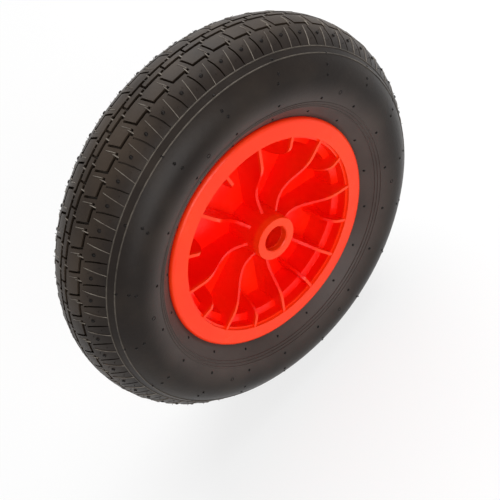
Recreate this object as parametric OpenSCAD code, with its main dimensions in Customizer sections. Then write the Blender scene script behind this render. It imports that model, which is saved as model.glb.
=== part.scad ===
// Pneumatic wheelbarrow wheel: a one-piece moulded rim with radial ribs, a treaded tyre,
// an inner tube and its valve. The axle runs along Y, the face seen first looks towards -Y,
// and the origin is the middle of the wheel.

/* [Rim] */
// Diameter across the lips of the rim
lip_d = 230; // [224:1:236]
// Distance between the outer faces of the two lips
rim_width = 78; // [74:1:84]
// Width of the flat lip ring with its rounded edge
lip_w = 17; // [16:0.5:19]
// Radius of the rounded outer edge of each lip
lip_edge_r = 4; // [3:0.5:5]
// Height of the lips over the seats that the tyre's beads sit on
flange_h = 13.5; // [12:0.5:15]
// Thickness of each lip, from its outer face to the bead
flange_t = 8; // [7.5:0.5:10]
// Depth of the drop centre below the bead seats
well_depth = 9; // [8:0.5:11]
// Flat width of the drop centre
well_width = 34; // [30:1:36]
// Wall thickness of the barrel
barrel_wall = 4.5; // [3.5:0.5:5.5]
// Thickness of the disc between barrel and hub
web_t = 4; // [3:0.5:6]

/* [Ribs] */
// Number of long ribs on each side, with a short rib between each two
rib_pairs = 8; // [6:1:10]
// Thickness of every rib
rib_t = 2.8; // [2:0.2:4]
// Turn of the first short rib from the X axis, in degrees
rib_turn = 6.5; // [-20:0.5:20]
// Depth of the lowest stretch of a long rib below the lip
rib_dip = 16; // [12:1:20]
// Depth at which a long rib meets the hub, below the lip
rib_hub_depth = 11; // [8:1:15]
// Level stretch of a long rib inside the lip, before it dips
rib_crest = 16; // [12:1:20]
// Distance from the hub to the lowest place of a long rib
rib_low = 16.5; // [13:0.5:22]
// Level stretch of a short rib inside the lip, before it falls away
short_crest = 10; // [8:1:14]
// Length over which a short rib falls to the disc
short_fall = 15; // [12:1:18]

/* [Hub] */
// Outer diameter of the hub
hub_d = 43; // [40:1:48]
// Length of the hub
hub_len = 86; // [80:1:92]
// Diameter of the bore for the axle bushes
bore_d = 25.4; // [20:0.1:28]
// Chamfer at both mouths of the bore
bore_chamfer = 1; // [0.5:0.25:1.5]

/* [Tyre] */
// Diameter over the tread
tyre_d = 390; // [384:1:400]
// Radius of the tread across the tyre
tread_arc_r = 48; // [46:1:54]
// Half width of the tread, measured along its curve
tread_half = 42.5; // [41:0.5:43]
// Width of the tyre at its widest
section_w = 106; // [102:1:110]
// Width of the plain band below the tread
band_w = 6.8; // [5:0.2:8]
// Thickness of the sidewall
sidewall_t = 5; // [4:0.5:6]
// Thickness of the rubber under the tread surface
crown_t = 9; // [8:0.5:10]
// Height of the thin raised lines and rings
line_h = 0.6; // [0.3:0.1:1]
// Clearance between the tyre and the rim
seat_gap = 0.2; // [0.1:0.1:0.4]

/* [Tread] */
// Number of tread pitches round the tyre
pitches = 56; // [40:1:60]
// Turn of the first pitch from the X axis, in degrees
pitch_turn = 80.8; // [0:0.1:90]
// Depth of the zigzag grooves
groove_depth = 3.8; // [2.4:0.2:4.4]
// Width of the outer zigzag grooves
groove_w = 2.4; // [1.6:0.1:2.8]
// Width of the inner zigzag grooves
inner_groove_w = 2.9; // [2:0.1:3.4]
// Depth of the curved grooves in the shoulder blocks
slit_depth = 2.6; // [1.6:0.2:3]
// Width of the curved grooves in the shoulder blocks
slit_w = 1.4; // [0.8:0.1:1.8]
// Distance of the outer zigzag from the tread's middle line
outer_zigzag = 18.7; // [17:0.1:20]
// Distance of the inner zigzag from the tread's middle line
inner_zigzag = 3.6; // [3:0.1:5]

/* [Inner tube] */
// Wall thickness of the inner tube
tube_wall = 2; // [1.5:0.5:3]
// Clearance between the tube and the tyre
tube_gap = 0.3; // [0.2:0.1:0.6]

/* [Valve] */
// Turn of the valve from the X axis, in degrees
valve_turn = 270; // [262:0.5:271]
// Distance of the valve from the middle plane, away from the first face
valve_offset = 9.5; // [8.5:0.5:10.5]
// Diameter of the valve hole in the rim
valve_hole_d = 11.5; // [11:0.5:12.5]
// Length of the rubber stem above the drop centre
stem_len = 24; // [20:1:26]
// Diameter of the rubber stem at its foot
stem_d = 10.8; // [10:0.2:10.8]
// Diameter of the rubber stem at its end
stem_tip_d = 9.4; // [9:0.2:10]
// Outer diameter of the valve's thread
thread_d = 7.7; // [7:0.1:8]
// Length of thread that stands out of the rubber
thread_len = 11; // [9:0.5:12]
// Outer diameter of the cap without its grips
cap_d = 9.6; // [9.4:0.2:10.4]
// Height of the cap
cap_h = 13; // [12.5:0.5:14]

/* [Hidden] */
$fn = 96;
cut = 1;

lip_r = lip_d / 2;
lip_half = rim_width / 2;
lip_inner_d = lip_d - 2 * lip_w;
lip_inner_r = lip_inner_d / 2;
bead_seat_d = lip_d - 2 * flange_h;
seat_r = bead_seat_d / 2;
bead_width = rim_width - 2 * flange_t;
bead_half = bead_width / 2;
well_d = bead_seat_d - 2 * well_depth;
well_r = well_d / 2;
well_half = well_width / 2;
well_inner_r = well_r - barrel_wall;
web_half = web_t / 2;
seat_taper = 0.9;
seat_inner_edge = well_half + 3;
wall_step_r = lip_inner_r - 2.6;
wall_step_depth = 2.6;
ledge_depth = 13;

hub_r = hub_d / 2;
hub_half = hub_len / 2;
bore_r = bore_d / 2;
hub_draft = 1.5;

crown_r = tyre_d / 2;
arc_centre_r = crown_r - tread_arc_r;
tread_edge_angle = tread_half / tread_arc_r * 180 / PI;
tread_edge_r = arc_centre_r + tread_arc_r * cos(tread_edge_angle);
tread_edge_half = tread_arc_r * sin(tread_edge_angle);
band_slope = 50;
band_end_r = tread_edge_r - band_w * cos(band_slope);
band_end_half = tread_edge_half + band_w * sin(band_slope);
rubbing_r = lip_r + 11;
rubbing_half = lip_half + 5;
bulge_chord = norm([band_end_r - rubbing_r, band_end_half - rubbing_half]) / 2;
bulge_lean = atan2(rubbing_half - band_end_half, band_end_r - rubbing_r);
bulge_rise = section_w / 2 - (rubbing_half + band_end_half) / 2;
bulge_r = (bulge_chord * bulge_chord + bulge_rise * bulge_rise) / (2 * bulge_rise);
bulge_centre = [(rubbing_r + band_end_r) / 2, (rubbing_half + band_end_half) / 2]
    + (bulge_rise - bulge_r) * [sin(bulge_lean), cos(bulge_lean)];
bulge_spread = 2 * atan(bulge_rise / bulge_chord);
bulge_top_angle = 90 - bulge_lean - bulge_spread;
bulge_low_angle = 90 - bulge_lean + bulge_spread;

pitch_angle = 360 / pitches;
// Distance from the start of a pitch to the point about which the pattern turns over
pattern_middle = 6.4;

function polar(r, a) = [r * cos(a), r * sin(a)];
function arc(centre, r, from, to, steps) =
    [for (i = [0 : steps]) centre + polar(r, from + (to - from) * i / steps)];
function flipped(points) = [for (i = [len(points) - 1 : -1 : 0]) [points[i][0], -points[i][1]]];
function both_sides(points) = concat(points, flipped(points));
function ease(t) = (1 - cos(180 * t)) / 2;

// Stands the wheel up: the turning axis becomes Y and the first face looks towards -Y
module upright() {
    rotate([90, 0, 0])
        children();
}

// Rim

// Outside of the barrel from the lip down to the drop centre, as radius and half width,
// moved out by a gap where the tyre's bead is meant
function bead_side(gap) = [
    [lip_r + gap, lip_half - lip_edge_r],
    [lip_r - 1 + gap, bead_half + 1.4 - gap],
    [lip_r - 4, bead_half + 0.4 - gap],
    [seat_r + 3, bead_half - gap],
    [seat_r + 0.8 + gap, bead_half - 0.8 - gap],
    [seat_r + gap, bead_half - 3],
    [seat_r - seat_taper + gap, seat_inner_edge]
];

function barrel_half() = concat(
    [[well_inner_r, 0]],
    [[well_inner_r, lip_half - ledge_depth - 3]],
    [[well_inner_r + 0.6, lip_half - ledge_depth - 1]],
    [[wall_step_r, lip_half - ledge_depth + 1]],
    [[wall_step_r + 0.4, lip_half - wall_step_depth]],
    [[lip_inner_r - 0.4, lip_half - wall_step_depth]],
    [[lip_inner_r, lip_half]],
    arc([lip_r - lip_edge_r, lip_half - lip_edge_r], lip_edge_r, 90, 0, 6),
    [for (i = [1 : 6]) bead_side(0)[i]],
    [[well_r, well_half]],
    [[well_r, 0]]
);

module barrel() {
    rotate_extrude()
        polygon(both_sides(barrel_half()));
}

module web() {
    rotate_extrude()
        translate([bore_r + 1, -web_half])
            square([well_inner_r + 1 - bore_r - 1, web_t]);
}

module hub() {
    rotate_extrude()
        polygon(both_sides([
            [bore_r, 0],
            [bore_r, hub_half - bore_chamfer],
            [bore_r + bore_chamfer, hub_half],
            [hub_r - 1, hub_half],
            [hub_r - 0.3, hub_half - 0.3],
            [hub_r, hub_half - 1],
            [hub_r + hub_draft, web_half],
            [hub_r + hub_draft, 0]
        ]));
}

rib_top = lip_half - 0.6;
rib_low_half = lip_half - rib_dip;
rib_hub_half = lip_half - rib_hub_depth;
rib_foot_r = hub_r;
rib_crest_r = lip_inner_r - rib_crest;
rib_low_r = rib_foot_r + rib_low;
short_crest_r = lip_inner_r - short_crest;
// How far a rib reaches into the disc and hub, into the barrel's wall, and down the lip's flat
rib_sink = 0.5;
rib_root = 2;
rib_lip_h = 2.4;

// Height of a long rib's edge at a radius: level at the lip, down into the dish, up to the hub
function long_edge(r) =
    r >= rib_crest_r ? rib_top :
    r >= rib_low_r ?
        rib_low_half + (rib_top - rib_low_half) * ease((r - rib_low_r) / (rib_crest_r - rib_low_r)) :
        rib_low_half + (rib_hub_half - rib_low_half) * (1 - cos(90 * (rib_low_r - r) / rib_low));

module rib(profile) {
    for (side = [0, 1])
        mirror([0, 0, side])
            rotate([90, 0, 0])
                translate([0, 0, -rib_t / 2])
                    linear_extrude(rib_t)
                        polygon(profile);
}

module long_rib() {
    steps = 14;
    rib(concat(
        [[rib_foot_r - rib_sink, web_half - rib_sink], [well_inner_r + rib_root, web_half - rib_sink]],
        [[wall_step_r + rib_root, lip_half - ledge_depth + rib_root]],
        [[wall_step_r + rib_root, rib_top - rib_lip_h]],
        [[lip_inner_r + rib_sink, rib_top - rib_lip_h], [lip_inner_r + rib_sink, rib_top]],
        [for (i = [0 : steps])
            let (r = rib_crest_r + (rib_foot_r - rib_sink - rib_crest_r) * i / steps) [r, long_edge(r)]]
    ));
}

module short_rib() {
    steps = 8;
    foot = [short_crest_r, web_half - rib_sink];
    rib(concat(
        [[short_crest_r - short_fall, web_half - rib_sink]],
        [[well_inner_r + rib_root, web_half - rib_sink]],
        [[wall_step_r + rib_root, lip_half - ledge_depth + rib_root]],
        [[wall_step_r + rib_root, rib_top - rib_lip_h]],
        [[lip_inner_r + rib_sink, rib_top - rib_lip_h], [lip_inner_r + rib_sink, rib_top]],
        [for (i = [0 : steps - 1])
            foot + [-short_fall * sin(90 * i / steps), (rib_top - foot[1]) * cos(90 * i / steps)]]
    ));
}

module rim() {
    color([0.93, 0.02, 0.01])
        upright()
            difference() {
                union() {
                    barrel();
                    web();
                    hub();
                    for (i = [0 : rib_pairs - 1]) {
                        rotate([0, 0, rib_turn + 360 / rib_pairs * i])
                            short_rib();
                        rotate([0, 0, rib_turn + 360 / rib_pairs * (i + 0.5)])
                            long_rib();
                    }
                }
                valve_place()
                    translate([0, 0, -cut])
                        cylinder(d = valve_hole_d, h = barrel_wall + 2 * cut);
            }
}

// Tyre

// How far the cuts reach out of the tread, and the foot of the outer groove's slanted leg
tread_clear = 4;
leg_foot = inner_zigzag + 4;

module tread_grooves(crossing) {
    for (k = [0 : pitches - 1])
        rotate([0, 0, pitch_turn + k * pitch_angle]) {
            shoulder_slit();
            outer_zigzag_groove();
            inner_zigzag_groove(crossing);
        }
}

// Cuts an outline into the tread, square to its surface at one point of it: x runs round the
// tyre from the start of the pitch, y runs across it from the middle line
module tread_cut(along, across, depth) {
    rotate([0, 0, along / crown_r * 180 / PI])
        translate([arc_centre_r, 0, 0])
            rotate([0, -across / tread_arc_r * 180 / PI, 0])
                translate([tread_arc_r - depth, -along, -across])
                    rotate([90, 0, 90])
                        linear_extrude(depth + tread_clear)
                            children();
}

module shoulder_slit() {
    top = tread_half - 1.2;
    low = outer_zigzag + 4.2;
    span = top - low;
    h = slit_w / 2;
    tread_cut(1, (top + low) / 2, slit_depth)
        polygon([
            [-0.6 - h * 0.6, top], [-0.4 - h, top - span * 0.35],
            [0.5 - h, top - span * 0.7], [2.1 - h, low],
            [2.1 + h, low], [0.5 + h, top - span * 0.7],
            [-0.4 + h, top - span * 0.35], [-0.6 + h * 0.6, top]
        ]);
}

module outer_zigzag_groove() {
    h = groove_w / 2;
    line = outer_zigzag;
    run = 14.5;
    foot = [16.3, 18.3];
    pocket_w = 2.2;
    tread_cut(8, (line + leg_foot) / 2, groove_depth)
        polygon([
            [0, line + 3.2], [1.5, line + 3.2], [1.9, line + h],
            [run, line + h], [run + 0.4, line], [foot[1], leg_foot + 0.4],
            [foot[1] - 0.6, leg_foot], [foot[0], leg_foot + 0.2],
            [run - 1.2, line - h], [0, line - h]
        ]);
    tread_cut(-2.3, line, groove_depth)
        translate([-2.3 - pocket_w / 2, line - h * 0.9])
            square([pocket_w, groove_w * 0.9]);
}

module inner_zigzag_groove(crossing) {
    h = inner_groove_w / 2;
    line = inner_zigzag;
    start = -7.3;
    leg = [7.5, 9.5];
    leg_low = crossing ? -line : line - h;
    pocket = [9.9, 12.9];
    tread_cut((start + pocket[1]) / 2, 0, groove_depth) {
        polygon([
            [start, line + 2.8], [start + 1.6, line + 2.8], [start + 2, line + h],
            [leg[1], line + h], [leg[1], leg_low], [leg[0], leg_low],
            [leg[0], line - h], [start, line - h]
        ]);
        translate([pocket[0], line - h * 0.9])
            square([pocket[1] - pocket[0], inner_groove_w * 0.9]);
    }
}

// Angle about which the pattern repeats when it is turned over to the other half
pattern_centre = pitch_turn + pattern_middle / crown_r * 180 / PI;

function tyre_outside() = concat(
    arc([arc_centre_r, 0], tread_arc_r, 0, tread_edge_angle, 9),
    arc(bulge_centre, bulge_r, bulge_top_angle, bulge_low_angle, 10),
    [[lip_r + 4.5, lip_half + 0.2], [lip_r + 1.6, lip_half - 3]]
);

hollow_edge_angle = tread_edge_angle - 10;
hollow_top_angle = bulge_top_angle + 4;
hollow_low_angle = bulge_low_angle - 4;
neck_r = lip_r + 9;
neck_half = lip_half - sidewall_t - 2;

// Hollow inside the tyre, moved in by an inset where the tube's surfaces are meant
function tyre_hollow(inset) = concat(
    arc([arc_centre_r, 0], tread_arc_r - crown_t - inset, 0, hollow_edge_angle, 6),
    arc(bulge_centre, bulge_r - sidewall_t - inset, hollow_top_angle, hollow_low_angle, 8),
    [[neck_r + inset, neck_half - inset]]
);

bead_toe_half = seat_inner_edge - 0.8;
bead_toe_r = seat_r + 2.4;

module tyre_section() {
    difference() {
        polygon(both_sides(concat(
            tyre_outside(),
            [for (p = bead_side(seat_gap)) p],
            [[seat_r - seat_taper + seat_gap, bead_toe_half], [bead_toe_r, bead_toe_half]]
        )));
        polygon(both_sides(concat(
            tyre_hollow(0),
            [[bead_toe_r, bead_toe_half], [bead_toe_r - 10, bead_toe_half]]
        )));
    }
}

// Places of the fine rings near the bead, along the sidewall from the foot of its bulge
ring_places = [2.3, 5.2, 8.1];

module raised_lines() {
    for (side = [1, -1])
        for (p = concat(
            [[tread_edge_r, tread_edge_half], [band_end_r, band_end_half]],
            [for (p = ring_places)
                bulge_centre + polar(bulge_r, bulge_low_angle - p / bulge_r * 180 / PI)]))
            translate([p[0], side * p[1]])
                circle(r = line_h, $fn = 24);
}

module tyre() {
    color([0.07, 0.065, 0.06])
        upright()
            difference() {
                rotate_extrude()
                    union() {
                        tyre_section();
                        raised_lines();
                    }
                tread_grooves(true);
                rotate([0, 0, pattern_centre])
                    rotate([180, 0, 0])
                        rotate([0, 0, -pattern_centre])
                            tread_grooves(false);
            }
}

// Inner tube

tube_floor_r = well_r + 2;

module tube_section(inset) {
    polygon(both_sides(concat(
        tyre_hollow(inset),
        [[bead_toe_r + 0.8 * inset, bead_toe_half - 1.2 * inset]],
        [[tube_floor_r + inset - tube_gap, well_half - 2.5 - inset]]
    )));
}

module inner_tube() {
    hole_reach = 5;
    color([0.1, 0.1, 0.1])
        upright()
            difference() {
                rotate_extrude()
                    difference() {
                        tube_section(tube_gap);
                        tube_section(tube_gap + tube_wall);
                    }
                valve_place()
                    translate([0, 0, -tube_wall - hole_reach])
                        cylinder(r = air_way_r, h = tube_wall + hole_reach + cut);
            }
}

// Valve

air_way_r = 1.6;
insert_r = 3;
insert_foot_r = 4.2;
insert_foot_z = 0.6;
insert_foot_t = 1.4;
thread_r = thread_d / 2;
core_len = 23;
core_bore_r = 2.6;
fit_gap = 0.05;
valve_top_z = stem_len + thread_len;
core_seat_z = valve_top_z - core_len;

// Valve's own frame: Z points from the drop centre towards the hub
module valve_place() {
    rotate([0, 0, valve_turn])
        translate([well_r, 0, -valve_offset])
            rotate([0, -90, 0])
                children();
}

module valve_stem() {
    foot_r = 7.4;
    foot_top = -0.2;
    foot_low = -1.6;
    color([0.09, 0.09, 0.09])
        upright()
            valve_place()
                rotate_extrude()
                    polygon([
                        [air_way_r, foot_low], [foot_r - 0.4, foot_low], [foot_r, foot_low + 0.5],
                        [foot_r, foot_top], [stem_d / 2, foot_top], [stem_d / 2, stem_len * 0.4],
                        [stem_tip_d / 2, stem_len - 0.8], [stem_tip_d / 2 - 0.5, stem_len],
                        [insert_r, stem_len], [insert_r, insert_foot_z + insert_foot_t],
                        [insert_foot_r, insert_foot_z + insert_foot_t], [insert_foot_r, insert_foot_z],
                        [air_way_r, insert_foot_z]
                    ]);
}

module valve_insert() {
    thread_pitch = 0.8;
    turns = floor((thread_len - 2.4) / thread_pitch);
    thread_foot = stem_len + 0.3;
    ridge = 0.35;
    color([0.72, 0.6, 0.3])
        upright()
            valve_place()
                rotate_extrude()
                    polygon(concat(
                        [[air_way_r, insert_foot_z], [insert_foot_r, insert_foot_z]],
                        [[insert_foot_r, insert_foot_z + insert_foot_t]],
                        [[insert_r, insert_foot_z + insert_foot_t], [insert_r, stem_len]],
                        [[thread_r, stem_len], [thread_r, thread_foot + 0.8]],
                        [for (i = [0 : turns - 1]) each [
                            [thread_r - ridge, thread_foot + 1 + thread_pitch * (i + 0.25)],
                            [thread_r, thread_foot + 1 + thread_pitch * (i + 0.75)]
                        ]],
                        [[thread_r, valve_top_z - 0.6], [thread_r - 0.5, valve_top_z]],
                        [[core_bore_r + 0.4, valve_top_z], [core_bore_r, valve_top_z - 0.5]],
                        [[core_bore_r, core_seat_z], [air_way_r, core_seat_z - 1]]
                    ));
}

core_top_z = valve_top_z - 1;
plug_foot_z = core_top_z - 6;
barrel_r = 1.9;
barrel_foot_z = core_seat_z + 3.4;
pin_r = 0.5;
pin_collar_r = 1.15;
spring_foot_z = barrel_foot_z + 1;
spring_top_z = spring_foot_z + 7;
spring_wire_r = 0.14;
spring_coil_r = 0.95;

module valve_core() {
    plug_r = core_bore_r - fit_gap;
    chamber_r = 1.35;
    flat_w = 3;
    flat_h = 2;
    color([0.8, 0.72, 0.45])
        upright()
            valve_place()
                difference() {
                    rotate_extrude()
                        polygon([
                            [pin_r + 0.25, barrel_foot_z], [barrel_r - 0.3, barrel_foot_z],
                            [barrel_r, barrel_foot_z + 0.4], [barrel_r, plug_foot_z],
                            [plug_r, plug_foot_z + 0.6], [plug_r, core_top_z],
                            [chamber_r, core_top_z], [chamber_r, spring_foot_z],
                            [pin_r + 0.25, spring_foot_z]
                        ]);
                    for (side = [-1, 1])
                        translate([side * (barrel_r + flat_w / 2), 0, core_top_z - flat_h / 2])
                            cube([flat_w, 2 * flat_w, flat_h + cut], center = true);
                }
}

module core_gasket() {
    gasket_h = 2;
    color([0.75, 0.1, 0.08])
        upright()
            valve_place()
                translate([0, 0, plug_foot_z - gasket_h - 1.2])
                    difference() {
                        cylinder(r = core_bore_r - fit_gap, h = gasket_h);
                        translate([0, 0, -cut])
                            cylinder(r = barrel_r + fit_gap, h = gasket_h + 2 * cut);
                    }
}

washer_r = 1.5;
washer_t = 1.1;
washer_gap = 0.05;

module core_pin() {
    tip_r = 0.9;
    color([0.78, 0.7, 0.5])
        upright()
            valve_place()
                rotate_extrude()
                    polygon([
                        [0, barrel_foot_z - washer_t - washer_gap - 0.6],
                        [tip_r + 0.3, barrel_foot_z - washer_t - washer_gap - 0.6],
                        [tip_r + 0.3, barrel_foot_z - washer_t - washer_gap],
                        [pin_r, barrel_foot_z - washer_t - washer_gap],
                        [pin_r, spring_top_z], [pin_collar_r, spring_top_z],
                        [pin_collar_r, spring_top_z + 0.6], [pin_r, spring_top_z + 0.6],
                        [pin_r, core_top_z - 0.9], [tip_r, core_top_z - 0.6],
                        [tip_r, core_top_z + 0.3], [tip_r - 0.3, core_top_z + 0.6],
                        [0, core_top_z + 0.6]
                    ]);
}

module core_washer() {
    color([0.06, 0.06, 0.06])
        upright()
            valve_place()
                translate([0, 0, barrel_foot_z - washer_t - washer_gap])
                    difference() {
                        cylinder(r = washer_r, h = washer_t);
                        translate([0, 0, -cut])
                            cylinder(r = pin_r, h = washer_t + 2 * cut);
                    }
}

// A coil round the pin, swept as rings of a few sides along a helix
module core_spring() {
    coils = 6;
    steps = 12;
    sides = 6;
    rings = coils * steps;
    low = spring_foot_z + spring_wire_r + 0.02;
    rise = spring_top_z - spring_foot_z - 2 * spring_wire_r - 0.04;
    points = [for (i = [0 : rings]) for (j = [0 : sides - 1])
        let (turn = 360 * i / steps, a = 360 * j / sides, r = spring_coil_r + spring_wire_r * cos(a))
            [r * cos(turn), r * sin(turn), low + rise * i / rings + spring_wire_r * sin(a)]];
    walls = [for (i = [0 : rings - 1]) for (j = [0 : sides - 1])
        let (a = i * sides + j, b = i * sides + (j + 1) % sides)
            [a, a + sides, b + sides, b]];
    ends = [[for (j = [0 : sides - 1]) j], [for (j = [sides - 1 : -1 : 0]) rings * sides + j]];
    color([0.7, 0.7, 0.72])
        upright()
            valve_place()
                polyhedron(points, concat(walls, ends));
}

module valve_cap() {
    grips = 12;
    clearance = 0.15;
    grip_r = 0.5;
    top_t = 1.6;
    seat = stem_len + 0.3;
    color([0.05, 0.05, 0.055])
        upright()
            valve_place()
                translate([0, 0, seat])
                    difference() {
                        union() {
                            rotate_extrude()
                                polygon([
                                    [0, 0], [cap_d / 2, 0], [cap_d / 2, cap_h - 1.2],
                                    [cap_d / 2 - 0.4, cap_h - 0.4], [cap_d / 2 - 1.2, cap_h], [0, cap_h]
                                ]);
                            for (i = [0 : grips - 1])
                                rotate([0, 0, 360 / grips * i])
                                    translate([cap_d / 2, 0, 1])
                                        cylinder(r = grip_r, h = cap_h - 3.4, $fn = 16);
                        }
                        translate([0, 0, -cut])
                            cylinder(r = thread_r + clearance, h = cap_h - top_t + cut);
                    }
}

rim();
tyre();
inner_tube();
valve_stem();
valve_insert();
valve_core();
core_gasket();
core_pin();
core_washer();
core_spring();
valve_cap();
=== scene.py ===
# A pneumatic wheelbarrow wheel: moulded plastic rim, treaded tyre, inner tube and valve.
# The axle runs along Y, the near face looks towards -Y, and the wheel stands on its tread.

import math
import random

import bmesh
import bpy
from mathutils import Matrix, Vector


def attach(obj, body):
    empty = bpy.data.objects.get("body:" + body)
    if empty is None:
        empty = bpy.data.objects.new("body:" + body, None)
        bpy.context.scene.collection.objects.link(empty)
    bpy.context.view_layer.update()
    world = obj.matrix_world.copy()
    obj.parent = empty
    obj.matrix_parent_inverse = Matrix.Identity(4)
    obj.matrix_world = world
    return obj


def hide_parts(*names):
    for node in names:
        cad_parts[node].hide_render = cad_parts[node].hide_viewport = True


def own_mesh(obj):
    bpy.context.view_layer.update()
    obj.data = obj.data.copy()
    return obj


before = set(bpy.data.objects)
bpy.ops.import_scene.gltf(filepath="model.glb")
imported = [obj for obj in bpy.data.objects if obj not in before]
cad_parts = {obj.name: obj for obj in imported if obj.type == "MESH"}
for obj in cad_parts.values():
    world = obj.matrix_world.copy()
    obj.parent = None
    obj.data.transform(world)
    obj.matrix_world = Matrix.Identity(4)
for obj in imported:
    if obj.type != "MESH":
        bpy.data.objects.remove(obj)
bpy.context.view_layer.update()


# Viewpoint
#
# The photograph looks down on the near face from its left, with the wheel tilted in the frame.
# The place, directions and lens come from a camera fitted to the lip and the tread's edge.

view_right = Vector((0.68676, -0.64482, -0.33550))
view_up = Vector((0.69135, 0.43691, 0.57545))
view_place = Vector((-0.19793, -0.51911, 0.58198))
lens_mm = 61.2
sensor_mm = 36

camera = bpy.data.objects.new("camera", bpy.data.cameras.new("camera"))
camera.data.sensor_width = sensor_mm
camera.data.lens = lens_mm
view_turn = Matrix((view_right, view_up, view_right.cross(view_up))).transposed()
camera.matrix_world = Matrix.Translation(view_place) @ view_turn.to_4x4()
bpy.context.scene.collection.objects.link(camera)
bpy.context.scene.camera = camera


# Rim
#
# One injection moulding of red polypropylene: two lips, the stepped barrel, the middle disc,
# the hub, and the ribs of both faces. The mould leaves every edge a little rounded.

rim_edge_round = 0.0005
# The paler red is the tone of the flow patches, and also a painted sheen on the lips and the hub's
# ends.
rim_flow_and_sheen_red = (0.97, 0.046, 0.004, 1)
rim_deep_red = (0.96, 0.004, 0.001, 1)
sheen_from = 0.034
sheen_to = 0.038
same_place = 0.000002
flat_angle = math.radians(0.05)
sharp_angle = math.radians(28)
crease_angle = math.radians(40)


class Wire:
    """The output of a shader node. Arithmetic on it adds Math nodes to its material."""

    def __init__(self, socket):
        self.socket = socket
        self.tree = socket.id_data

    @staticmethod
    def feed(node, sockets):
        """Gives a node's sockets their values or links."""
        for name, value in sockets.items():
            if isinstance(value, Wire):
                node.id_data.links.new(value.socket, node.inputs[name])
            else:
                node.inputs[name].default_value = value

    def node(self, kind, settings, sockets, output=0):
        """A new node of any kind: its settings first, then its sockets."""
        made = self.tree.nodes.new("ShaderNode" + kind)
        for name, value in settings.items():
            setattr(made, name, value)
        self.feed(made, sockets)
        return Wire(made.outputs[output])

    def maths(self, operation, *others):
        """A Math node on this value and the others."""
        return self.node("Math", {"operation": operation}, dict(enumerate((self, *others))))

    def __add__(self, other):
        return self.maths("ADD", other)

    def __sub__(self, other):
        return self.maths("SUBTRACT", other)

    def __rsub__(self, other):
        return self.maths("MULTIPLY_ADD", -1, other)

    def __mul__(self, other):
        return self.maths("MULTIPLY", other)

    def __pow__(self, other):
        return self.maths("POWER", other)

    __radd__ = __add__
    __rmul__ = __mul__

    def part(self, axis):
        """One coordinate of these."""
        return self.node("SeparateXYZ", {}, {"Vector": self}, output="XYZ".index(axis))

    def radius(self):
        """Distance from the axle's line."""
        return (self.part("X") ** 2 + self.part("Z") ** 2) ** 0.5

    def noise(self, per_metre, detail=2):
        """Soft noise on these coordinates, from 0 to 1."""
        return self.node("TexNoise", {}, {"Vector": self, "Scale": per_metre, "Detail": detail})

    def step(self, low, high):
        """0 below low and 1 above high, with a soft change between them."""
        return self.node(
            "MapRange",
            {"interpolation_type": "SMOOTHSTEP"},
            {"Value": self, "From Min": low, "From Max": high},
        )

    def colours(self, low, high):
        """A colour between two others, by this value."""
        return self.node("Mix", {"data_type": "RGBA"}, {0: self, 6: low, 7: high}, output=2)

    def relief(self, distance):
        """The normal of a surface with this height on it."""
        return self.node("Bump", {}, {"Height": self, "Distance": distance, "Strength": 1})


def new_finish(name):
    """A material, its shader, and the coordinates in metres that its patterns are laid on."""
    material = bpy.data.materials.new(name)
    material.use_nodes = True
    shader = material.node_tree.nodes["Principled BSDF"]
    places = material.node_tree.nodes.new("ShaderNodeTexCoord")
    return material, shader, Wire(places.outputs["Object"])


def red_plastic():
    """Glossy red, a little paler in soft flow patches, and paler on the lips and the hub's ends with
    a painted sheen.
    """
    material, shader, place = new_finish("red_plastic")
    flow = place.noise(14, 3)
    # The lips and the hub's ends are painted paler: a painted sheen.
    painted_sheen = place.part("Y").maths("ABSOLUTE").step(sheen_from, sheen_to)
    grain = place.noise(1900, 2)
    waves = place.noise(160, 2)
    Wire.feed(shader, {
        "Base Color": (0.7 * painted_sheen + 0.3 * flow.step(0.3, 0.72)).colours(rim_deep_red, rim_flow_and_sheen_red),
        "Roughness": 0.18 + 0.12 * flow + 0.05 * grain,
        "Normal": (0.25 * grain + waves).relief(0.00012),
        "Specular IOR Level": 0.24,
    })
    return material


def put(mesh, name, material, body):
    """Makes a finished bmesh into a piece of the object."""
    data = bpy.data.meshes.new(name)
    mesh.to_mesh(data)
    mesh.free()
    data.materials.append(material)
    piece = bpy.data.objects.new(name, data)
    bpy.context.scene.collection.objects.link(piece)
    for face in data.polygons:
        face.use_smooth = True
    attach(piece, body)
    return piece


def merged_copy(node):
    """A copy of a CAD node's mesh, with its loose triangles joined into one surface."""
    mesh = bmesh.new()
    mesh.from_mesh(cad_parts[node].data)
    bmesh.ops.remove_doubles(mesh, verts=mesh.verts, dist=same_place)
    return mesh


def round_edges(mesh, width, rounds=None):
    """Makes flat stretches whole faces, and rounds the sharp edges. Where rounds is given, only
    the edges that it holds true for are rounded."""
    bmesh.ops.dissolve_limit(
        mesh, angle_limit=flat_angle, verts=mesh.verts, edges=mesh.edges
    )
    sharp = [
        edge for edge in mesh.edges
        if edge.is_manifold and edge.calc_face_angle() > sharp_angle
        and (rounds is None or rounds(edge))
    ]
    bmesh.ops.bevel(
        mesh, geom=sharp, offset=width, offset_type="OFFSET", segments=2, profile=0.5,
        affect="EDGES", clamp_overlap=True, material=-1,
    )
    for edge in mesh.edges:
        edge.smooth = not edge.is_manifold or edge.calc_face_angle() < crease_angle


def even_shading(piece):
    """Keeps the broad faces even, and lets the light turn only round the rounded edges."""
    piece.modifiers.new("shading", "WEIGHTED_NORMAL").keep_sharp = True


def add_ring(mesh, radius, out, thickness, sides, steps):
    """Adds a round wire about the axle, at a radius and a distance from the middle plane."""
    section = bmesh.ops.create_circle(mesh, segments=sides, radius=thickness)["verts"]
    bmesh.ops.translate(mesh, verts=section, vec=(radius, out, 0))
    edges = list(dict.fromkeys(edge for vert in section for edge in vert.link_edges))
    bmesh.ops.spin(
        mesh, geom=section + edges, axis=(0, 1, 0), angle=math.tau, steps=steps, use_merge=True
    )


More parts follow.
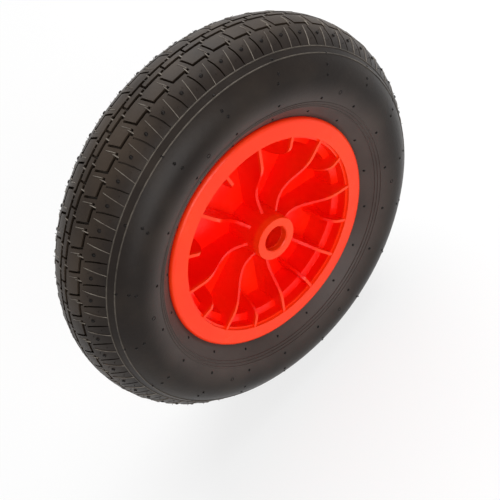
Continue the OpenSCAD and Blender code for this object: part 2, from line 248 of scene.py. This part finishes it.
red = red_plastic()
rim_mesh = merged_copy("rim")
round_edges(rim_mesh, rim_edge_round)
rim = put(rim_mesh, "rim_moulding", red, "wheel")
even_shading(rim)
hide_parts("rim")

# A wavy thread of flash runs round the bore near each of its ends.
bore_r = 0.0127
flash_r = 0.0003
flash_from_middle = 0.0362
flash_lean = 0.0005
flash_ripple = 0.0002
ripples = 5

flash = bmesh.new()
for side in (-1, 1):
    add_ring(flash, bore_r, side * flash_from_middle, flash_r, sides=6, steps=72)
for vert in flash.verts:
    turn = math.atan2(vert.co.z, vert.co.x)
    vert.co.y += flash_lean * math.sin(turn + 0.6) + flash_ripple * math.sin(ripples * turn)
bmesh.ops.recalc_face_normals(flash, faces=flash.faces)
put(flash, "bore_flash", red, "wheel")


# Tyre
#
# One moulding of black rubber over its bead wires and cord plies. Its surface is the mould's, with
# a brown bloom on the tread, dust and a painted sheen on the crown, a painted reflection lightening
# the walls towards the beads, and a painted highlight on the raised lines.

rubber_black = (0.0095, 0.0060, 0.0044, 1)
# The brown is the rubber's bloom, and on the crown also a painted sheen.
rubber_bloom_and_sheen = (0.058, 0.042, 0.030, 1)
# The walls are painted lighter towards the beads: a painted reflection.
rubber_painted_reflection = (0.080, 0.060, 0.053, 1)
# The pale colour of the raised lines is a painted highlight.
rubber_line_highlight = (0.19, 0.165, 0.135, 1)
tyre_edge_round = 0.0004
edge_line = (0.17738, 0.03716)
band_line = (0.17301, 0.04237)
mould_line_width = 0.0007
# Radii over which that painted reflection comes in.
reflection_from_r = 0.128
reflection_to_r = 0.156
tread_end_out = 0.0365
wall_centre_r = 0.14870
wall_centre_out = 0.01993
wall_arc_r = 0.03309
ring_band_r = (0.12600, 0.13308)
ring_band_out = 0.0435
ring_radii = (0.12773, 0.13003, 0.13250)
ring_round = 0.0006
band_rows = 3
band_slack = 0.0001


def tyre_rubber():
    """Black rubber with a brown bloom, dust and a painted sheen on the crown, a painted reflection
    that lightens the walls towards the bead, and a painted highlight on the raised lines."""
    material, shader, place = new_finish("tyre_rubber")
    bloom = place.noise(22, 4)
    grain = place.noise(2600, 2)
    waves = place.noise(300, 2)
    radius = place.radius()
    half = place.part("Y").maths("ABSOLUTE")
    crown = half.step(0.040, 0.014)
    # The mould's raised lines are painted pale: a painted highlight.
    lines = 0
    for line_r, line_half in (edge_line, band_line):
        reach = ((radius - line_r) ** 2 + (half - line_half) ** 2) ** 0.5
        lines = lines + reach.step(mould_line_width, mould_line_width * 0.6)
    line_highlight = (lines * bloom.step(0.2, 0.55)).maths("MINIMUM", 0.8)
    # The crown's brown is partly dust and partly a painted sheen.
    dust_and_sheen = 0.25 * bloom.step(0.35, 0.8) + 0.6 * crown * bloom.step(0.0, 0.7)
    # The walls lighten towards the bead: a painted reflection, patchy with the bloom.
    talc = radius.step(reflection_to_r, reflection_from_r) * (0.35 + 0.65 * bloom)
    skin = talc.colours(dust_and_sheen.colours(rubber_black, rubber_bloom_and_sheen), rubber_painted_reflection)
    Wire.feed(shader, {
        "Base Color": line_highlight.colours(skin, rubber_line_highlight),
        "Roughness": 0.28 + 0.14 * bloom + 0.06 * crown + 0.05 * grain,
        "Normal": (0.6 * grain + waves).relief(0.0001),
        "Specular IOR Level": 0.16,
    })
    return material


def from_axle(vert):
    """Distance of a vertex from the axle's line."""
    return math.hypot(vert.co.x, vert.co.z)


def wall_out(radius):
    """How far the bulge of the sidewall stands from the middle plane, at a radius."""
    return wall_centre_out + math.sqrt(wall_arc_r ** 2 - (radius - wall_centre_r) ** 2)


def even_bead_band(mesh, side):
    """Takes the three fine rings off one wall, and closes the band under them with even faces."""
    low, high = ring_band_r
    band = [
        face for face in mesh.faces
        if all(
            vert.co.y * side > ring_band_out
            and low - band_slack < from_axle(vert) < high + band_slack
            for vert in face.verts
        )
    ]
    bmesh.ops.delete(mesh, geom=band, context="FACES")
    ends = [edge for edge in mesh.edges if edge.is_boundary]
    faces = bmesh.ops.bridge_loops(mesh, edges=ends)["faces"]
    around = set(ends)
    across = dict.fromkeys(
        edge for face in faces for edge in face.edges if edge not in around
    )
    between = bmesh.ops.subdivide_edges(mesh, edges=list(across), cuts=band_rows)["geom_inner"]
    for item in between:
        if isinstance(item, bmesh.types.BMVert):
            item.co.y = side * wall_out(from_axle(item))


rubber = tyre_rubber()
casing_mesh = merged_copy("tyre")
for side in (-1, 1):
    even_bead_band(casing_mesh, side)
round_edges(
    casing_mesh, tyre_edge_round,
    lambda edge: edge.is_convex and abs(edge.verts[0].co.y) < tread_end_out,
)
casing = put(casing_mesh, "tyre_casing", rubber, "wheel")
even_shading(casing)
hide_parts("tyre")

rings = bmesh.new()
for side in (-1, 1):
    for radius in ring_radii:
        add_ring(rings, radius, side * wall_out(radius), ring_round, sides=12, steps=120)
bmesh.ops.recalc_face_normals(rings, faces=rings.faces)
put(rings, "bead_rings", rubber, "wheel")


# Knife lines, nubs and vents of the tread
#
# On every pitch of both halves the mould leaves a thin raised line across the shoulder block,
# short nubs beside the pockets, a round vent mark, and a hair of rubber drawn out of a vent.

tread_arc_r = 0.048
tread_arc_centre_r = 0.147
pitches = 56
first_pitch = math.radians(80.8)
turnover = math.radians(82.68)
line_width = 0.0007
line_height = 0.0005
line_sink = 0.0003
vent_along = 0.0150
vent_across = 0.0297
vent_r = 0.0018
vent_height = 0.0011
vent_lift = 0.0001
vent_dish = 0.0006
vent_pip = 0.0008
hair_r = 0.0003
hair_length = 0.0018
hair_lean = 0.4
hair_places = ((0.0115, 0.0270), (0.0040, 0.0355))
# A darker black: painted shade, for the vents' pits and the plugs' recessed rings.
pit_shade_black = (0.0030, 0.0020, 0.0015, 1)

# The knife line and the nubs: both ends along and across the pitch, width, height and bends
raised_lines = (
    ((0.0074, 0.0226), (0.0099, 0.0422), line_width, line_height, 5),
    ((-0.0006, 0.0158), (-0.0008, 0.0216), 0.0011, 0.0005, 1),
    ((-0.0080, 0.0024), (-0.0080, 0.0064), 0.0011, 0.0001, 1),
    ((0.0191, 0.0172), (0.0215, 0.0085), 0.0008, 0.0003, 2),
)


def line_highlight_rubber():
    """The same rubber with a painted highlight, pale in patches, for the thin raised flash."""
    material, shader, place = new_finish("line_highlight_rubber")
    patches = place.noise(120, 3)
    Wire.feed(shader, {
        "Base Color": patches.step(0.3, 0.7).colours(rubber_bloom_and_sheen, rubber_line_highlight),
        "Roughness": 0.42 + 0.2 * patches,
        "Normal": place.noise(2600).relief(0.00005),
    })
    return material


def glossy_rubber():
    """The shiny skin of what a vent or a plug of the mould leaves, painted darker than the tyre as
    the painted shade of pits and recessed rings.
    """
    material, shader, place = new_finish("glossy_rubber")
    smears = place.noise(700, 2)
    Wire.feed(shader, {
        "Base Color": smears.step(0.3, 0.8).colours(pit_shade_black, rubber_black),
        "Roughness": 0.16 + 0.2 * smears,
        "Normal": smears.relief(0.00002),
        "Specular IOR Level": 0.12,
    })
    return material


def on_tread(along, across, out):
    """A point of the tread at the wheel's +X side, from its place along the pitch, its distance
    from the middle line, and its height over the surface."""
    lean = across / tread_arc_r
    reach = tread_arc_r + out
    radius = tread_arc_centre_r + reach * math.cos(lean)
    swing = along / radius
    return Vector((radius * math.cos(swing), -reach * math.sin(lean), radius * math.sin(swing)))


def bend_to_tread(mesh):
    """Lays what was modelled flat, with X along the pitch and Y across it, on the tread."""
    for vert in mesh.verts:
        vert.co = on_tread(*vert.co)
    bmesh.ops.recalc_face_normals(mesh, faces=mesh.faces)


def all_pitches(mesh):
    """Repeats what was made at one pitch on every pitch, and turned over on the far half."""
    bmesh.ops.rotate(mesh, verts=mesh.verts, matrix=Matrix.Rotation(-first_pitch, 3, "Y"))
    bmesh.ops.spin(
        mesh, geom=mesh.verts[:] + mesh.edges[:] + mesh.faces[:], axis=(0, -1, 0),
        angle=math.tau * (pitches - 1) / pitches, steps=pitches - 1, use_duplicate=True,
    )
    far = bmesh.ops.duplicate(mesh, geom=mesh.verts[:] + mesh.edges[:] + mesh.faces[:])["geom"]
    spoke = (math.cos(turnover), 0, math.sin(turnover))
    bmesh.ops.rotate(
        mesh, verts=[item for item in far if isinstance(item, bmesh.types.BMVert)],
        matrix=Matrix.Rotation(math.pi, 3, spoke),
    )


def raised_line(mesh, start, end, width, height, cuts):
    """A thin bar on the flat pitch from one place to another, narrower at its top."""
    bmesh.ops.create_cube(mesh, size=1)
    long_edges = [
        edge for edge in mesh.edges if abs((edge.verts[0].co - edge.verts[1].co).y) > 0.5
    ]
    bmesh.ops.subdivide_edges(mesh, edges=long_edges, cuts=cuts)
    for vert in mesh.verts:
        placed_before = abs(vert.co.z) < 0.4
        if placed_before:
            continue
        share = vert.co.y + 0.5
        top = vert.co.z > 0
        vert.co = (
            start[0] + (end[0] - start[0]) * share + vert.co.x * width * (0.5 if top else 1),
            start[1] + (end[1] - start[1]) * share,
            height if top else -line_sink,
        )


# The knife lines and nubs carry a painted highlight.
line_highlight = line_highlight_rubber()
glossy = glossy_rubber()
lines = bmesh.new()
for line in raised_lines:
    raised_line(lines, *line)
bend_to_tread(lines)
all_pitches(lines)
put(lines, "tread_lines", line_highlight, "wheel")

# The vents are painted darker: painted shade of their pits.
vents = bmesh.new()
bmesh.ops.create_cone(
    vents, cap_ends=True, segments=12, radius1=vent_r, radius2=vent_r * 0.8, depth=vent_height
)
top_face = max(vents.faces, key=lambda face: face.calc_center_median().z)
bmesh.ops.inset_region(vents, faces=[top_face], thickness=vent_r * 0.25, depth=-vent_dish)
bmesh.ops.inset_region(vents, faces=[top_face], thickness=vent_r * 0.2, depth=vent_pip)
bmesh.ops.translate(vents, verts=vents.verts, vec=(vent_along, vent_across, vent_lift))
bend_to_tread(vents)
all_pitches(vents)
put(vents, "tread_vents", glossy, "wheel")

hairs = bmesh.new()
for along, across in hair_places:
    hair = bmesh.ops.create_cone(
        hairs, cap_ends=True, segments=5, radius1=hair_r, radius2=hair_r * 0.5, depth=hair_length
    )["verts"]
    bmesh.ops.translate(hairs, verts=hair, vec=(along, across, hair_length / 2 - line_sink))
    for vert in hair:
        vert.co.x += vert.co.z * hair_lean
bend_to_tread(hairs)
all_pitches(hairs)
put(hairs, "tread_hairs", rubber, "wheel")


# Vents and plugs of the sidewalls
#
# Each wall has eighteen spokes of small vent stubs, and six round plugs of the mould, which
# leave thin rings in the rubber. Stubs and rings are painted dark: painted shade of pits and
# recesses.

wall_foot_r = 0.126
wall_foot_out = 0.044
bead_corner_r = 0.1195
bead_corner_out = 0.0392
wall_foot_slope = math.atan2(wall_foot_out - bead_corner_out, wall_foot_r - bead_corner_r)
spokes = 18
first_spoke = math.radians(6.8)
spoke_scatter = 0.012
ring_scatter = 0.0012
stub_r = 0.0008
stub_heights = (0.0006, 0.0009)
stub_sink = 0.0001
foot_height = 0.0003
stub_rings = (0.1205, 0.1375, 0.1580, 0.1648, 0.1735)
plugs = 6
first_plug = math.radians(38.5)
plug_place_r = 0.144
plug_ring_r = 0.0016
plug_ring_wire = 0.0004
plug_ring_flatness = 0.2


def on_wall(radius):
    """Turns a shape modelled at the origin with +Z outwards onto the wall's +X side."""
    if radius > wall_foot_r:
        rise = math.asin((radius - wall_centre_r) / wall_arc_r)
        out = wall_out(radius)
    else:
        rise = -wall_foot_slope
        out = wall_foot_out + (radius - wall_foot_r) * math.tan(wall_foot_slope)
    upright = Matrix.Rotation(math.pi / 2, 4, "X")
    return Matrix.Translation((radius, -out, 0)) @ Matrix.Rotation(rise, 4, "Z") @ upright


def to_spoke(mesh, verts, radius, turn, side):
    """Moves a shape modelled at the origin to its place on either wall."""
    place = Matrix.Rotation(-turn, 4, "Y") @ on_wall(radius)
    if side < 0:
        place = Matrix.Rotation(math.pi, 4, "X") @ place
    bmesh.ops.transform(mesh, verts=verts, matrix=place)


random.seed(8)
stubs = bmesh.new()
for side in (1, -1):
    for spoke in range(spokes):
        for ring in stub_rings:
            height = random.uniform(*stub_heights)
            stub = bmesh.ops.create_cone(
                stubs, cap_ends=True, segments=10, radius1=stub_r, radius2=stub_r * 0.8, depth=height
            )["verts"]
            bmesh.ops.translate(stubs, verts=stub, vec=(0, 0, height / 2 - stub_sink))
            foot = bmesh.ops.create_cone(
                stubs, cap_ends=True, segments=12, radius1=stub_r * 1.9, radius2=stub_r * 1.5,
                depth=foot_height,
            )["verts"]
            turn = first_spoke + math.tau * spoke / spokes
            turn += random.uniform(-spoke_scatter, spoke_scatter)
            radius = ring + random.uniform(-ring_scatter, ring_scatter)
            to_spoke(stubs, stub + foot, radius, turn, side)
put(stubs, "wall_vents", glossy, "wheel")

marks = bmesh.new()
for side in (1, -1):
    for plug in range(plugs):
        mark = bmesh.ops.create_circle(marks, segments=6, radius=plug_ring_wire)["verts"]
        bmesh.ops.scale(marks, verts=mark, vec=(1, plug_ring_flatness, 1))
        bmesh.ops.rotate(marks, verts=mark, matrix=Matrix.Rotation(math.pi / 2, 3, "X"))
        bmesh.ops.translate(marks, verts=mark, vec=(plug_ring_r, 0, 0))
        edges = list(dict.fromkeys(edge for vert in mark for edge in vert.link_edges))
        bmesh.ops.spin(
            marks, geom=mark + edges, axis=(0, 0, 1), angle=math.tau, steps=28, use_merge=True
        )
        ring = [vert for vert in marks.verts if vert.co.length < 2 * plug_ring_r]
        turn = first_plug + math.tau * plug / plugs
        to_spoke(marks, ring, plug_place_r, turn, side)
bmesh.ops.recalc_face_normals(marks, faces=marks.faces)
put(marks, "wall_plug_marks", glossy, "wheel")


# Inner tube and valve
#
# The tube is butyl rubber, dusted with talc, with a rubber stem bonded on. The stem holds a
# turned brass tube, and the core screws into that: its pin presses a rubber washer shut.

tube_black = (0.010, 0.010, 0.011, 1)
tube_talc = (0.11, 0.11, 0.11, 1)
steel_bright = (0.62, 0.62, 0.64, 1)
steel_stained = (0.45, 0.44, 0.43, 1)

def paint(node, material):
    """Gives a CAD node its material."""
    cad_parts[node].material_slots[0].material = material


def tube_rubber():
    """Matt butyl rubber under patches of talc."""
    material, shader, place = new_finish("tube_rubber")
    talc = place.noise(45, 4)
    Wire.feed(shader, {
        "Base Color": talc.step(0.45, 0.8).colours(tube_black, tube_talc),
        "Roughness": 0.48 + 0.25 * talc,
        "Normal": (talc + 0.3 * place.noise(1500)).relief(0.0001),
    })
    return material


def turned_brass(name, bright, dull):
    """Brass with fine turning marks and duller patches."""
    material, shader, place = new_finish(name)
    tarnish = place.noise(420, 3)
    marks = place.node("TexWave", {"bands_direction": "Z"}, {
        "Vector": place, "Scale": 2600, "Distortion": 1.5,
    })
    Wire.feed(shader, {
        "Base Color": tarnish.step(0.35, 0.75).colours(bright, dull),
        "Roughness": 0.22 + 0.22 * tarnish,
        "Metallic": 1.0,
        "Normal": marks.relief(0.00001),
    })
    return material


def soft_rubber(name, colour, worn):
    """Smooth moulded rubber or plastic with a faint bloom."""
    material, shader, place = new_finish(name)
    bloom = place.noise(260, 3)
    Wire.feed(shader, {
        "Base Color": bloom.step(0.35, 0.8).colours(colour, worn),
        "Roughness": 0.36 + 0.2 * bloom,
        "Normal": (bloom + 0.3 * place.noise(3000)).relief(0.00004),
    })
    return material


def spring_steel():
    """Drawn wire, bright with faint stains."""
    material, shader, place = new_finish("spring_steel")
    stains = place.noise(1200, 2)
    Wire.feed(shader, {
        "Base Color": stains.step(0.3, 0.8).colours(steel_bright, steel_stained),
        "Roughness": 0.25 + 0.2 * stains,
        "Metallic": 1.0,
        "Normal": stains.relief(0.00001),
    })
    return material


paint("inner_tube", tube_rubber())
paint("valve_stem", soft_rubber("stem_rubber", (0.008, 0.008, 0.008, 1), (0.030, 0.028, 0.026, 1)))
paint("valve_insert", turned_brass("valve_brass", (0.80, 0.58, 0.28, 1), (0.52, 0.37, 0.18, 1)))
core_brass = turned_brass("core_brass", (0.86, 0.70, 0.42, 1), (0.62, 0.48, 0.27, 1))
paint("valve_core", core_brass)
paint("core_pin", core_brass)
paint("core_gasket", soft_rubber("gasket_red", (0.45, 0.020, 0.015, 1), (0.55, 0.060, 0.045, 1)))
paint("core_washer", soft_rubber("washer_rubber", (0.010, 0.010, 0.010, 1), (0.035, 0.033, 0.030, 1)))
paint("valve_cap", soft_rubber("cap_plastic", (0.012, 0.012, 0.013, 1), (0.040, 0.040, 0.042, 1)))

# The spring gets a mesh of its own. In the valve it shortens towards its foot as the pin comes down
# on it.
spring = put(
    merged_copy("core_spring"), "core_spring_coil", spring_steel(), "wheel"
)
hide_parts("core_spring")
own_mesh(spring)


# Floor and light
#
# A sheet of pale paper under the wheel, a large soft lamp above and a weaker one in front. What
# the camera sees past the wheel, itself or in a gloss, is white.

floor_z = -0.195
floor_half = 4
world_light = 0.2
near_white = 0.75
near_r = 0.6
far_r = 2.0

sheet = bmesh.new()
bmesh.ops.create_grid(sheet, x_segments=1, y_segments=1, size=floor_half)
bmesh.ops.translate(sheet, verts=sheet.verts, vec=(0, 0, floor_z))
sheet_data = bpy.data.meshes.new("floor")
sheet.to_mesh(sheet_data)
sheet.free()
floor = bpy.data.objects.new("floor", sheet_data)
bpy.context.scene.collection.objects.link(floor)

paper, paper_shader, paper_place = new_finish("paper")
Wire.feed(paper_shader, {
    "Base Color": (0.93, 0.93, 0.93, 1),
    "Roughness": 0.8,
    "Normal": paper_place.noise(900).relief(0.00002),
})


def seen_directly(tree):
    """1 for what the camera sees, itself or in a gloss or through a clear thing, and else 0."""
    rays = tree.nodes.new("ShaderNodeLightPath").outputs
    gloss = Wire(rays["Is Glossy Ray"]).maths("MAXIMUM", Wire(rays["Is Transmission Ray"]))
    return gloss.maths("MAXIMUM", Wire(rays["Is Camera Ray"]))


white = paper_place.node("Emission", {}, {"Color": (1, 1, 1, 1), "Strength": 1.0})
far = (paper_place.part("X") ** 2 + paper_place.part("Y") ** 2) ** 0.5
share = near_white + (1 - near_white) * far.step(near_r, far_r)
whiteness = seen_directly(paper.node_tree) * share
blend = paper_place.node("MixShader", {}, {0: whiteness, 1: Wire(paper_shader.outputs[0]), 2: white})
output = paper.node_tree.nodes["Material Output"]
paper.node_tree.links.new(blend.socket, output.inputs["Surface"])
sheet_data.materials.append(paper)


def softbox(name, place, size, watts):
    """A square lamp that faces the wheel."""
    lamp = bpy.data.objects.new(name, bpy.data.lights.new(name, "AREA"))
    lamp.data.size = size
    lamp.data.energy = watts
    lamp.location = place
    lamp.rotation_euler = (-Vector(place)).to_track_quat("-Z", "Y").to_euler()
    bpy.context.scene.collection.objects.link(lamp)


softbox("top_lamp", (0.9, 0.6, 1.7), 2.2, 50)
softbox("front_lamp", (-0.3, -1.9, 0.7), 1.5, 28)

world = bpy.data.worlds.new("studio")
bpy.context.scene.world = world
world.use_nodes = True
Wire.feed(world.node_tree.nodes["Background"], {
    "Color": (1, 1, 1, 1),
    "Strength": world_light + (1 - world_light) * seen_directly(world.node_tree),
})

bpy.context.scene.view_settings.view_transform = "Standard"
